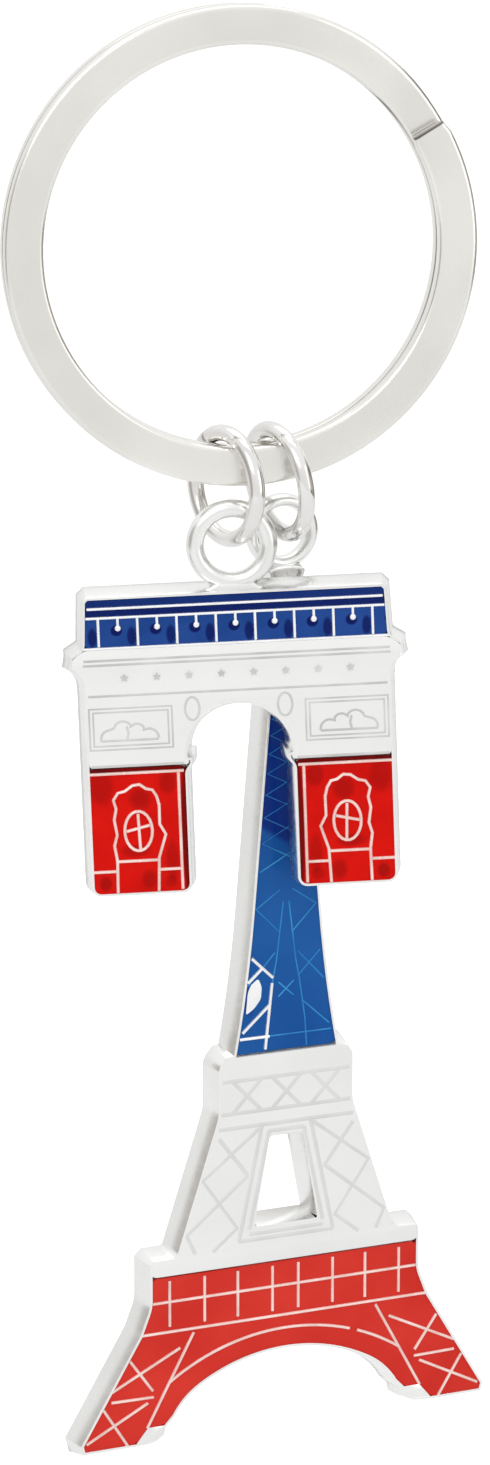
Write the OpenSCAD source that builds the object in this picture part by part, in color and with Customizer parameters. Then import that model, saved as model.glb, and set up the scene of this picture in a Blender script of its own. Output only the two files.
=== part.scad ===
// Souvenir keychain: a split ring, two jump rings and two enamelled castings.
// The split ring's centre is the origin, its axis is Y, the front faces -Y and +Z is up.
// The castings hang from the jump rings, the arch in front of the tower.

/* [Split ring] */
// Outside diameter of the split ring
ring_od = 30; // [26:0.5:36]
// Radial width of its flat wire
band_w = 2.45; // [2:0.05:2.9]
// Thickness of one turn of the wire
turn_t = 1.15; // [0.95:0.05:1.35]
// Rounding of the wire's edges
wire_edge = 0.35; // [0.15:0.05:0.45]
// Where the front turn ends, in degrees up from +X
split_at = 31; // [20:1:50]
// Arc over which the wire crosses from the back turn to the front one
cross_arc = 30; // [26:1:40]

/* [Jump rings] */
// Wire diameter of both jump rings
jump_wire = 1.06; // [0.9:0.02:1.2]
// Room left in a jump ring past the corners of the doubled band
jump_play = 2.34; // [2.1:0.02:3.2]
// Slit between the bent wire's ends, in degrees
jump_slit = 5; // [2:1:12]
// Play between a jump ring and the band that it hangs on
seat_gap = 0.09; // [0.06:0.01:0.2]
// Where the arch's jump ring hangs, in degrees from the ring's lowest point
arch_link_at = -3.5; // [-6:0.1:-2]
// Turn of the arch's jump ring about the vertical
arch_link_turn = 24; // [10:1:30]
// Lean of the arch's jump ring
arch_link_lean = 1; // [0:0.5:3]
// Where the tower's jump ring hangs, in degrees from the ring's lowest point
tower_link_at = 9.4; // [7:0.1:14]
// Turn of the tower's jump ring about the vertical
tower_link_turn = 18.5; // [10:0.5:24]
// Lean of the tower's jump ring
tower_link_lean = 8.5; // [6:0.5:12]

/* [Castings] */
// Thickness of both castings
charm_t = 1.9; // [1.6:0.1:2]
// How far the back outline stands out past the front one
draft = 0.4; // [0.2:0.05:0.5]
// Depth of the enamel cells
cell_depth = 0.55; // [0.4:0.05:0.7]
// How far the enamel stays below the raised metal
enamel_sink = 0.12; // [0.05:0.01:0.2]
// Width of the metal rim round a colour field
rim_w = 0.16; // [0.12:0.02:0.24]
// Width of the raised metal lines
line_w = 0.2; // [0.16:0.02:0.26]
// Depth of the castings' loops, front to back
loop_t = 1.35; // [1.2:0.05:1.5]

/* [Arch casting] */
// Width of the arch across its piers
arch_w = 19.6; // [18:0.2:22]
// Height of the arch without its loop
arch_h = 19.5; // [19:0.1:21]
// Width of the passage under the arch
passage_w = 6.8; // [6:0.1:7.4]
// Overhang of the cornice on each side
cornice_out = 0.75; // [0.5:0.05:1]
// Play of the jump ring's wire in the arch's loop
arch_loop_play = 2.44; // [2.3:0.02:2.8]
// Width of the metal round the loop's hole
arch_loop_bar = 1.15; // [0.9:0.05:1.3]
// Room between the arch's back and the ring's own plane
arch_gap = 0.15; // [0.05:0.01:0.4]
// Turn of the arch about the vertical
arch_yaw = -7.8; // [-9:0.1:0]
// Tilt of the arch in its own plane
arch_tilt = 2.1; // [0:0.1:3]
// Room that the slanting wire needs in the arch's loop
arch_slack = 0.65; // [0.6:0.01:0.8]
// Side on which the wire bears in the arch's loop, in degrees from its top
arch_bear = 42; // [0:1:50]

/* [Tower casting] */
// Width of the tower across its feet
tower_w = 29.2; // [27:0.2:33]
// Height of the tower without its loop
tower_h = 55.5; // [52:0.5:60]
// Half width of the gap between the feet at the ground
gap_half = 8.62; // [8:0.02:9]
// Play of the jump ring's wire in the tower's loop
tower_loop_play = 2.14; // [2:0.02:2.6]
// Width of the metal round the loop's hole
tower_loop_bar = 0.85; // [0.7:0.05:1.1]
// Room between the tower's front and the ring's own plane
tower_gap = 0.5; // [0.4:0.01:0.8]
// Turn of the tower about the vertical
tower_yaw = 11.9; // [0:0.1:13]
// Room that the slanting wire needs in the tower's loop
tower_slack = 0.36; // [0.3:0.01:0.45]
// Side on which the wire bears in the tower's loop, in degrees from its top
tower_bear = 53; // [0:1:55]

/* [Hidden] */
$fn = 64;

nickel = [0.80, 0.80, 0.79];
blue = [0.05, 0.14, 0.50];
white = [0.86, 0.86, 0.83];
red = [0.72, 0.07, 0.05];

eps = 0.01;
ring_r = ring_od / 2;
bore_r = ring_r - band_w;
jump_id = norm([band_w, 2 * turn_t]) + jump_play;
jump_r = (jump_id + jump_wire) / 2;
arch_loop_id = jump_wire + arch_loop_play;
arch_loop_od = arch_loop_id + 2 * arch_loop_bar;
arch_front = charm_t / 2 + arch_gap;
tower_loop_id = jump_wire + tower_loop_play;
tower_loop_od = tower_loop_id + 2 * tower_loop_bar;
tower_back = charm_t / 2 + tower_gap;

// ---- where the chain hangs ----

// Distance from the split ring's centre to a jump ring's centre, when the wire's inside
// clears the rounded inner edges of the band that it hangs on.
function hang_r(turn) = bore_r + wire_edge
    + sqrt(pow(jump_id / 2 - wire_edge - seat_gap, 2) - pow((turn_t - wire_edge) / cos(turn), 2));
function link_centre(at, turn) = hang_r(turn) * [sin(at), 0, -cos(at)];

// A direction in a jump ring's own frame, turned and leaned as the ring hangs.
function turned(v, turn) = [v.x * cos(turn) - v.y * sin(turn), v.x * sin(turn) + v.y * cos(turn), v.z];
function leaned(v, lean) = [v.x * cos(lean) - v.z * sin(lean), v.y, v.x * sin(lean) + v.z * cos(lean)];

// Point on a jump ring's wire where a casting at depth y hangs.
function wire_point(at, turn, lean, y) =
    let (s = y / cos(turn), drop = sqrt(pow(jump_r, 2) - pow(s, 2)))
    link_centre(at, turn) + leaned(turned([0, s, -drop], turn), lean);

arch_pivot = wire_point(arch_link_at, arch_link_turn, arch_link_lean, -arch_front);
tower_pivot = wire_point(tower_link_at, tower_link_turn, tower_link_lean, tower_back);

// From the wire to the centre of its loop, seen from the front, when it bears at an angle from the top.
function bear_offset(loop_id, slack, bear) = ((loop_id - jump_wire) / 2 - slack) * [sin(bear), cos(bear)];

// ---- outlines, in the plane of a casting, seen from the front ----

function mirrored(points) = [for (i = [len(points) - 1 : -1 : 0]) if (points[i].x > eps) [-points[i].x, points[i].y]];
function closed(half) = concat(half, mirrored(half));
function arc(c, r, from, to, n) = [for (i = [0 : n]) let (a = from + (to - from) * i / n) c + r * [cos(a), sin(a)]];

// A closed outline with every edge moved outwards by g; it runs anticlockwise.
function normal(a, b) = let (d = (b - a) / norm(b - a)) [d.y, -d.x];
function grown(p, g) = [for (i = [0 : len(p) - 1])
    let (n1 = normal(p[(i + len(p) - 1) % len(p)], p[i]), n2 = normal(p[i], p[(i + 1) % len(p)]))
    p[i] + (n1 + n2) * g / (1 + n1 * n2)];

// Tower levels, from the ground up.
foot_half = tower_w / 2;
stub_z = 1.05;
gap_z = 5.3;
red_foot_z = 7.64;
red_side_z = 9.5;
deck1_z = 11.45;
deck1_top = 12.65;
deck1_half = 9.68;
leg_half = 7.83;
deck2_z = 22;
deck2_top = 25.9;
deck2_half = 4.78;
spire_z = 25.97;
spire_half = 3.72;
spire_top = 0.88;
flare_h = 9.43;
flare_out = 0.49;
cabin_z = tower_h - 1.5;
cabin_half = 1.25;
neck_half = 0.85;
window = [[2.3, 14.05], [1.19, 20.2]];

// The gap between the feet: a flat crown, tighter haunches, then straight down to the stubs.
crown_r = 12;
haunch_r = 5.5;
haunch_end = [crown_r * sin(30), gap_z - crown_r * (1 - cos(30))];
haunch_c = haunch_end - haunch_r * [sin(30), cos(30)];
gap_half_outline = concat(
    arc([0, gap_z - crown_r], crown_r, 90, 60, 8),
    arc(haunch_c, haunch_r, 52, 30, 4),
    [[gap_half, stub_z]]
);

// Half width of the spire: a straight taper that flares out towards its base.
function spire_w(z) =
    let (taper = (cabin_z - z) / (cabin_z - spire_z), flare = max(0, spire_z + flare_h - z) / flare_h)
    spire_top + (spire_half - flare_out - spire_top) * taper + flare_out * pow(flare, 2);
spire_steps = 14;
spire_side = [for (i = [0 : spire_steps])
    let (z = spire_z + (cabin_z - spire_z) * i / spire_steps) [spire_w(z), z]];

tower_outline = closed(concat(
    gap_half_outline,
    [
        [gap_half + 1.3, stub_z],
        [gap_half + 2.1, 0],
        [foot_half - 0.15, 0],
        [foot_half, 0.6],
        [10.4, red_foot_z],
        [deck1_half, red_side_z],
        [deck1_half, deck1_top],
        [leg_half, deck1_top],
        [deck2_half, deck2_z],
        [deck2_half, deck2_top - 0.6],
        [deck2_half - 0.5, deck2_top]
    ],
    spire_side,
    [
        [cabin_half, cabin_z],
        [cabin_half, cabin_z + 0.9],
        [neck_half, tower_h],
        [neck_half, tower_h + 1.4],
        [neck_half + 0.5, tower_h + 2.5],
        [0, tower_h + 2.6]
    ]
));
tower_loop_z = tower_h + 2.3 + tower_loop_od / 2;

// Arch levels, from the foot of the piers up.
arch_half = arch_w / 2;
passage_half = passage_w / 2;
spring_z = 8.85;
ledge_z = 8.3;
frieze_z = 13.2;
cornice_z = 15.4;
attic_z = 16.2;
toe_r = 0.6;

arch_outline = closed(concat(
    arc([0, spring_z], passage_half, 90, 15, 10),
    [
        [passage_half, spring_z],
        [passage_half - 0.35, spring_z],
        [passage_half - 0.35, ledge_z + 0.1],
        [passage_half, ledge_z - 0.3]
    ],
    arc([passage_half + toe_r, toe_r], toe_r, 180, 270, 4),
    arc([arch_half - toe_r, toe_r], toe_r, 270, 360, 4),
    [[arch_half - 0.02, frieze_z]],
    arc([arch_half + 1.6, frieze_z + 0.3], 1.6, 170, 118, 3),
    [
        [arch_half + cornice_out, cornice_z],
        [arch_half + cornice_out, cornice_z + 0.25],
        [arch_half - 0.05, attic_z],
        [arch_half - 0.2, arch_h - 0.25],
        [arch_half - 0.45, arch_h],
        [2, arch_h],
        [1.4, arch_h + 0.4],
        [0, arch_h + 0.5]
    ]
));
arch_loop_z = arch_h - 0.1 + arch_loop_od / 2;

// ---- 2D helpers ----

module both_sides() {
    children();
    mirror([1, 0]) children();
}

module stroke(a, b, w = line_w) {
    d = b - a;
    translate(a) rotate(atan2(d.y, d.x)) translate([-w / 2, -w / 2]) square([norm(d) + w, w]);
}

module strokes(path, w = line_w) {
    for (i = [0 : len(path) - 2]) stroke(path[i], path[i + 1], w);
}

// ---- 3D helpers ----

// Flat casting whose back part stands out past its front; the front face is at z = charm_t.
module stepped(outline) {
    linear_extrude(charm_t) polygon(outline);
    linear_extrude(charm_t * 0.3) polygon(grown(outline, draft));
    linear_extrude(charm_t * 0.6) polygon(grown(outline, draft / 2));
}

// Cast loop: a ring of round-edged section.
module loop(id, od) {
    bar = (od - id) / 2;
    edge = bar * 0.4;
    rotate_extrude($fn = 48) translate([id / 2, 0]) {
        translate([edge, -loop_t / 2]) square([bar - 2 * edge, loop_t]);
        translate([0, -loop_t / 2 + edge]) square([bar, loop_t - 2 * edge]);
        for (x = [edge, bar - edge], y = [edge - loop_t / 2, loop_t / 2 - edge])
            translate([x, y]) circle(edge, $fn = 24);
    }
}

// Puts a casting drawn flat, front face up and its loop's centre at height z, where it hangs.
module hung(pivot, y, off, side, loop_z, yaw, tilt) {
    translate([pivot.x + side * off.x * cos(yaw), y + side * off.x * sin(yaw), pivot.z - off.y])
        rotate([0, 0, yaw]) rotate([0, -tilt, 0]) rotate([90, 0, 0])
            translate([0, -loop_z, -charm_t / 2]) children();
}

module arch_place() {
    off = bear_offset(arch_loop_id, arch_slack, arch_bear);
    hung(arch_pivot, -arch_front, off, -1, arch_loop_z, arch_yaw, arch_tilt) children();
}

module tower_place() {
    off = bear_offset(tower_loop_id, tower_slack, tower_bear);
    hung(tower_pivot, tower_back, off, 1, tower_loop_z, tower_yaw, 0) children();
}

// The cells are sunk in the front face; the enamel fills them to just below the metal.
module cells() {
    translate([0, 0, charm_t - cell_depth]) linear_extrude(cell_depth + 1) children();
}

module enamel() {
    translate([0, 0, charm_t - cell_depth]) linear_extrude(cell_depth - enamel_sink) children();
}

// ---- split ring ----

module band_section(y) {
    translate([bore_r, y]) {
        translate([wire_edge, 0]) square([band_w - 2 * wire_edge, turn_t]);
        translate([0, wire_edge]) square([band_w, turn_t - 2 * wire_edge]);
        for (x = [wire_edge, band_w - wire_edge], z = [wire_edge, turn_t - wire_edge])
            translate([x, z]) circle(wire_edge);
    }
}

// One turn runs most of the way round; the crossing joins the two.
module turn(y, start) {
    rotate([90, 0, 0]) rotate([0, 0, start])
        rotate_extrude(angle = 360 - cross_arc, $fn = 128) band_section(y);
}

module crossing() {
    rise = atan(turn_t / (2 * PI * (ring_r - band_w / 2) * (cross_arc + 2) / 360));
    intersection() {
        rotate([90, 0, 0]) rotate([0, 0, split_at + cross_arc / 2]) rotate([rise, 0, 0])
            rotate([0, 0, -cross_arc / 2 - 4])
                rotate_extrude(angle = cross_arc + 8, $fn = 128) band_section(-turn_t / 2);
        rotate([90, 0, 0]) cylinder(h = 2 * turn_t, r = ring_r, center = true, $fn = 128);
    }
}

module split_ring() {
    color(nickel) {
        turn(0, split_at + cross_arc);
        turn(-turn_t, split_at + cross_arc);
        crossing();
    }
}

// ---- jump rings ----

module jump_ring(at, turn, lean, slit_at) {
    translate(link_centre(at, turn)) rotate([0, -lean, 0]) rotate([0, 0, turn]) rotate([0, 90, 0])
        rotate([0, 0, slit_at + jump_slit / 2])
            rotate_extrude(angle = 360 - jump_slit, $fn = 96) translate([jump_r, 0]) circle(d = jump_wire, $fn = 48);
}

module arch_jump_ring() {
    color(nickel) jump_ring(arch_link_at, arch_link_turn, arch_link_lean, 150);
}

module tower_jump_ring() {
    color(nickel) jump_ring(tower_link_at, tower_link_turn, tower_link_lean, 60);
}

// ---- arch ----

module arch_blue_field() {
    z0 = attic_z + rim_w;
    z1 = arch_h - rim_w;
    difference() {
        polygon([[-arch_half + 0.22, z0], [arch_half - 0.22, z0], [arch_half - 0.37, z1], [-arch_half + 0.37, z1]]);
        for (z = [arch_h - 0.75, arch_h - 1.35]) stroke([-arch_half + 0.6, z], [arch_half - 0.6, z]);
        for (i = [-3.5 : 1 : 3.5]) stroke([i * 2.48, arch_h - 1.4], [i * 2.48, attic_z + 0.45]);
        for (i = [-3 : 3]) {
            stroke([i * 2.48, arch_h - 1.4], [i * 2.48, arch_h - 1.65]);
            translate([i * 2.48, arch_h - 2]) circle(0.16);
        }
    }
}

// Framed panel with three studs, between the passage and the side of the arch.
module arch_panel() {
    long = arch_half - 4.4;
    difference() {
        translate([4.2, 9.6]) square([long, 2.76]);
        translate([4.2 + line_w, 9.6 + line_w]) square([long - 2 * line_w, 2.76 - 2 * line_w]);
    }
    for (x = [5.3, 6.9, 8.5]) translate([x, 10.95]) circle(0.48);
}

module arch_white_field() {
    side = arch_half - rim_w - 0.06;
    difference() {
        polygon([
            [-side, ledge_z + 0.1],
            [side, ledge_z + 0.1],
            [side, frieze_z],
            [side + cornice_out * 0.8, cornice_z],
            [side, attic_z - rim_w],
            [-side, attic_z - rim_w],
            [-side - cornice_out * 0.8, cornice_z],
            [-side, frieze_z]
        ]);
        translate([0, spring_z]) circle(passage_half + rim_w);
        translate([-passage_half - rim_w, 0]) square([passage_w + 2 * rim_w, spring_z]);
        for (z = [frieze_z - 0.1, cornice_z + 0.05]) stroke([-arch_half + 0.3, z], [arch_half - 0.3, z]);
        for (i = [-3.5 : 1 : 3.5]) translate([i * 2.05, 14.25]) circle(0.2);
        both_sides() {
            arch_panel();
            translate([2.95, 12.05]) circle(0.45);
        }
    }
}

module arch_red_field() {
    foot = 0.45;
    both_sides() difference() {
        union() {
            translate([passage_half + rim_w, foot + rim_w])
                square([arch_half - passage_half - 2 * rim_w, ledge_z - foot - 2 * rim_w - 0.1]);
            translate([passage_half + rim_w + foot, rim_w])
                square([arch_half - passage_half - 2 * (rim_w + foot), foot + eps]);
        }
        stroke([passage_half + 0.2, 8], [arch_half - 0.2, 8], line_w / 2);
        stroke([4, 7.85], [4, 0.3]);
        strokes([[8.15, 0.3], [8.15, 6.5], [7.6, 6.9], [6.6, 7.3], [5.7, 6.85], [5.4, 6.1], [5.25, 4.6], [5, 3.9], [5.5, 2.3], [5.5, 0.3]]);
        stroke([8.15, 1.6], [9.5, 1.6]);
        stroke([5.5, 2.25], [8.15, 2.25]);
        stroke([4.1, 1.65], [5.3, 1.65]);
    }
}

module arch_casting() {
    color(nickel) arch_place() {
        difference() {
            stepped(arch_outline);
            cells() {
                arch_blue_field();
                arch_white_field();
                arch_red_field();
            }
        }
        translate([0, arch_loop_z, charm_t / 2]) loop(arch_loop_id, arch_loop_od);
    }
}

module arch_blue_enamel() {
    color(blue) arch_place() enamel() arch_blue_field();
}

module arch_white_enamel() {
    color(white) arch_place() enamel() arch_white_field();
}

module arch_red_enamel() {
    color(red) arch_place() enamel() arch_red_field();
}

// ---- tower ----

module tower_blue_field() {
    inset = rim_w;
    z0 = spire_z + 0.12;
    z1 = cabin_z - 0.8;
    right = [for (p = spire_side) if (p.y > z0 && p.y < z1) [p.x - inset, p.y]];
    side = concat([[spire_w(z0) - inset, z0]], right, [[spire_w(z1) - inset, z1], [0, z1]]);
    difference() {
        polygon(closed(concat([[0, z0]], side)));
        stroke([-3.3, 27], [3.3, 27]);
        both_sides() {
            strokes([[0.2, 36], [0.68, 32.1], [0.95, 30.7], [1.35, 28], [1.48, 26.1]]);
            strokes([[0.45, 36.8], [2.3, 35.65], [0.5, 34]]);
            stroke([2.5, 32.5], [0.85, 30.9]);
            stroke([0.8, 32.6], [2.9, 30.55]);
            stroke([1.1, 29.25], [3.1, 27.4]);
        }
    }
}

module window_2d(grow) {
    w = [
        [-window[0].x - grow, window[0].y - grow],
        [window[0].x + grow, window[0].y - grow],
        [window[1].x + grow, window[1].y + grow],
        [-window[1].x - grow, window[1].y + grow]
    ];
    polygon(w);
}

module tower_white_field() {
    rim = rim_w + 0.04;
    difference() {
        union() {
            polygon([
                [-leg_half + rim, deck1_top + 0.1],
                [leg_half - rim, deck1_top + 0.1],
                [deck2_half - rim, deck2_z - 0.2],
                [-deck2_half + rim, deck2_z - 0.2]
            ]);
            translate([-deck2_half + rim, deck2_z + 0.1]) square([2 * (deck2_half - rim), deck2_top - deck2_z - 0.7]);
            translate([-deck1_half + rim, deck1_z + rim]) square([2 * (deck1_half - rim), deck1_top - deck1_z - 2 * rim]);
        }
        window_2d(rim_w);
        for (z = [24.3, 21.05]) stroke([-deck2_half, z], [deck2_half, z]);
        stroke([-3.4, 13.25], [3.4, 13.25]);
        for (x = [-2.8, 0, 2.8]) {
            stroke([x - 1, 22.4], [x + 1, 24.1]);
            stroke([x - 1, 24.1], [x + 1, 22.4]);
        }
        both_sides() {
            stroke([1.75, 20.93], [3.38, 13.25]);
            strokes([[4.75, 20.6], [2.8, 17.67], [7.1, 14.05], [6.5, 12.85]]);
            strokes([[1.93, 20.75], [5.85, 17.75], [3.53, 14.15], [5.27, 12.75]]);
        }
    }
}

module tower_red_field() {
    rim = rim_w;
    thin_r = 14.5;
    foot_line = [[6.57, 7.3], [8.5, 3.85], [gap_half + 1.3, stub_z]];
    difference() {
        polygon(grown(closed(concat(
            gap_half_outline,
            [
                [gap_half + 1.3, stub_z],
                [gap_half + 2.1, 0],
                [foot_half - 0.15, 0],
                [foot_half, 0.6],
                [10.4, red_foot_z],
                [deck1_half, red_side_z],
                [deck1_half, deck1_z],
                [0, deck1_z]
            ])), -rim));
        stroke([-deck1_half + 0.3, 9.7], [deck1_half - 0.3, 9.7]);
        stroke([-10.3, red_foot_z], [10.3, red_foot_z]);
        strokes(arc([0, 6.72 - thin_r], thin_r, 90 - 35.5, 90 + 35.5, 24));
        both_sides() {
            for (x = [0.93, 3.42, 5.79, 8.27]) stroke([x, 11.1], [x, 8.05]);
            strokes(foot_line);
            stroke([7.8, 6.28], [12.3, 4.07]);
            stroke([11.05, 5.95], [9.5, 3.8]);
            stroke([9.45, 3.25], [12.4, 3.28]);
            stroke([9.9, 2.85], [14.1, 0.7]);
            stroke([12.95, 2.85], [11.35, 0.4]);
        }
    }
}

module tower_casting() {
    color(nickel) tower_place() {
        difference() {
            stepped(tower_outline);
            translate([0, 0, -1]) linear_extrude(charm_t + 2) window_2d(-draft / 2);
            cells() {
                tower_blue_field();
                tower_white_field();
                tower_red_field();
            }
        }
        translate([0, tower_loop_z, charm_t / 2]) loop(tower_loop_id, tower_loop_od);
    }
}

module tower_blue_enamel() {
    color(blue) tower_place() enamel() tower_blue_field();
}

module tower_white_enamel() {
    color(white) tower_place() enamel() tower_white_field();
}

module tower_red_enamel() {
    color(red) tower_place() enamel() tower_red_field();
}

split_ring();
arch_jump_ring();
tower_jump_ring();
arch_casting();
arch_blue_enamel();
arch_white_enamel();
arch_red_enamel();
tower_casting();
tower_blue_enamel();
tower_white_enamel();
tower_red_enamel();
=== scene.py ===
import math

import bpy
from mathutils import Matrix, Vector


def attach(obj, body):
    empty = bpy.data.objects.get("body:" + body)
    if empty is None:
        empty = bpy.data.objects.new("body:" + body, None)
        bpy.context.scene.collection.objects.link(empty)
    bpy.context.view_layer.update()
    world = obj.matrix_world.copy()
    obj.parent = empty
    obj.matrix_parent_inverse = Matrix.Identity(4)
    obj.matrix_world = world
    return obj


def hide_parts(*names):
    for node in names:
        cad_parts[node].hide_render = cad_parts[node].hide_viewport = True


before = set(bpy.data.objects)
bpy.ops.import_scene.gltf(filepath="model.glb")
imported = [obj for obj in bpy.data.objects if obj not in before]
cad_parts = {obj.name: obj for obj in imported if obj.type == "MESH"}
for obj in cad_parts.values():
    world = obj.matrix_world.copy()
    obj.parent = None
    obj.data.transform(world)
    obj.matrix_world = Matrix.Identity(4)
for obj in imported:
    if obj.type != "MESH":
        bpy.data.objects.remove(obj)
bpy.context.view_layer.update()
mm = 0.001
print("frame loaded")


# tools for the bench: every shape is drawn in mm, front face up, then hung where it belongs

def clearSelection():
    if bpy.context.mode != "OBJECT":
        bpy.ops.object.mode_set(mode="OBJECT")
    bpy.ops.object.select_all(action="DESELECT")


def pick(obj):
    clearSelection()
    obj.select_set(True)
    bpy.context.view_layer.objects.active = obj
    return obj


def selectVerts(obj, test):
    # selects by place, in edit mode, and leaves edit mode open
    pick(obj)
    bpy.ops.object.mode_set(mode="EDIT")
    bpy.ops.mesh.select_mode(type="VERT")
    bpy.ops.mesh.select_all(action="DESELECT")
    bpy.ops.object.mode_set(mode="OBJECT")
    for v in obj.data.vertices:
        v.select = test(v.co)
    bpy.ops.object.mode_set(mode="EDIT")


def selectFaces(obj, test):
    pick(obj)
    bpy.ops.object.mode_set(mode="EDIT")
    bpy.ops.mesh.select_mode(type="FACE")
    bpy.ops.mesh.select_all(action="DESELECT")
    bpy.ops.object.mode_set(mode="OBJECT")
    for f in obj.data.polygons:
        f.select = test(f)
    bpy.ops.object.mode_set(mode="EDIT")


def makeMesh(obj):
    pick(obj)
    bpy.ops.object.convert(target="MESH")
    bpy.ops.object.mode_set(mode="EDIT")
    bpy.ops.mesh.select_all(action="SELECT")
    bpy.ops.mesh.remove_doubles(threshold=0.0005)
    bpy.ops.mesh.normals_make_consistent(inside=False)
    bpy.ops.object.mode_set(mode="OBJECT")
    return obj


def flatShape(name, outlines, depth=0.0, bevel=0.0, bevelSteps=0, w=0.0):
    # a flat curve, filled and thickened, then made a mesh; w is the height of its middle
    curve = bpy.data.curves.new(name, "CURVE")
    curve.dimensions = "2D"
    curve.fill_mode = "BOTH"
    curve.extrude = depth / 2
    curve.bevel_depth = bevel
    curve.bevel_resolution = bevelSteps
    for outline in outlines:
        spline = curve.splines.new("POLY")
        spline.points.add(len(outline) - 1)
        for point, (u, v) in zip(spline.points, outline):
            point.co = (u, v, 0, 1)
        spline.use_cyclic_u = True
    obj = bpy.data.objects.new(name, curve)
    bpy.context.scene.collection.objects.link(obj)
    obj.location.z = w
    makeMesh(obj)
    pick(obj)
    bpy.ops.object.transform_apply(location=True, rotation=True, scale=True)
    return obj


def wireShape(name, paths, radius, w, flatten=1.0, steps=2):
    # raised lines: round wires lying in the front face
    curve = bpy.data.curves.new(name, "CURVE")
    curve.dimensions = "3D"
    curve.bevel_depth = radius
    curve.bevel_resolution = steps
    curve.use_fill_caps = True
    for path in paths:
        ring = len(path) > 2 and path[0] == path[-1]
        points = path[:-1] if ring else path
        spline = curve.splines.new("POLY")
        spline.points.add(len(points) - 1)
        for point, (u, v) in zip(spline.points, points):
            point.co = (u, v, 0, 1)
        spline.use_cyclic_u = ring
    obj = bpy.data.objects.new(name, curve)
    bpy.context.scene.collection.objects.link(obj)
    makeMesh(obj)
    pick(obj)
    obj.scale.z = flatten
    obj.location.z = w
    bpy.ops.object.transform_apply(location=True, rotation=True, scale=True)
    return obj


def joined(name, pieces):
    clearSelection()
    for p in pieces:
        p.select_set(True)
    bpy.context.view_layer.objects.active = pieces[0]
    bpy.ops.object.join()
    pieces[0].name = name
    pieces[0].data.name = name
    return pieces[0]


def bevelled(obj, width, steps=3, angle=40):
    pick(obj)
    mod = obj.modifiers.new("edge", "BEVEL")
    mod.width = width
    mod.segments = steps
    mod.limit_method = "ANGLE"
    mod.angle_limit = math.radians(angle)
    mod.use_clamp_overlap = True
    bpy.ops.object.modifier_apply(modifier=mod.name)
    return obj


def smoothed(obj, angle=35):
    pick(obj)
    bpy.ops.object.shade_smooth_by_angle(angle=math.radians(angle))
    return obj


def arc(cu, cv, r, start, end, steps):
    return [(cu + r * math.cos(math.radians(start + (end - start) * i / steps)),
             cv + r * math.sin(math.radians(start + (end - start) * i / steps))) for i in range(steps + 1)]


def mirrored(points):
    return [(-u, v) for u, v in points]


def closedOutline(half):
    return half + [(-u, v) for u, v in reversed(half) if u > 0.01]


def bothSides(paths):
    return paths + [mirrored(p) for p in paths]


def softened(outline, r, steps=4):
    # rounds the real corners of a closed outline, and leaves small steps sharp
    out = []
    count = len(outline)
    for i, here in enumerate(outline):
        here = Vector(here)
        before, after = Vector(outline[i - 1]) - here, Vector(outline[(i + 1) % count]) - here
        cut = min(r, before.length * 0.45, after.length * 0.45)
        if math.pi - before.angle(after) < math.radians(16) or cut < r * 0.6:
            out.append(tuple(here))
            continue
        start, end = here + before.normalized() * cut, here + after.normalized() * cut
        for k in range(steps + 1):
            s = k / steps
            out.append(tuple(start * (1 - s) ** 2 + here * 2 * s * (1 - s) + end * s ** 2))
    return out


def oval(cu, cv, ru, rv, steps=20):
    ring = [(cu + ru * math.cos(2 * math.pi * i / steps), cv + rv * math.sin(2 * math.pi * i / steps))
            for i in range(steps)]
    return ring + ring[:1]


# finishes

def makeMottle():
    # soft uneven cloud plus fine grain, both used by every finish
    group = bpy.data.node_groups.new("mottle", "ShaderNodeTree")
    for name, value in (("Cloud Scale", 200.0), ("Grain Scale", 3000.0)):
        group.interface.new_socket(name=name, in_out="INPUT",
                                   socket_type="NodeSocketFloat").default_value = value
    for name in ("Cloud", "Grain"):
        group.interface.new_socket(name=name, in_out="OUTPUT", socket_type="NodeSocketFloat")
    nodes, links = group.nodes, group.links
    inside = nodes.new("NodeGroupInput")
    outside = nodes.new("NodeGroupOutput")
    coords = nodes.new("ShaderNodeTexCoord")
    for scaleName, outName, detail in (("Cloud Scale", "Cloud", 2.0), ("Grain Scale", "Grain", 4.0)):
        noise = nodes.new("ShaderNodeTexNoise")
        noise.inputs["Detail"].default_value = detail
        links.new(coords.outputs["Object"], noise.inputs["Vector"])
        links.new(inside.outputs[scaleName], noise.inputs["Scale"])
        links.new(noise.outputs["Fac"], outside.inputs[outName])
    return group


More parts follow.
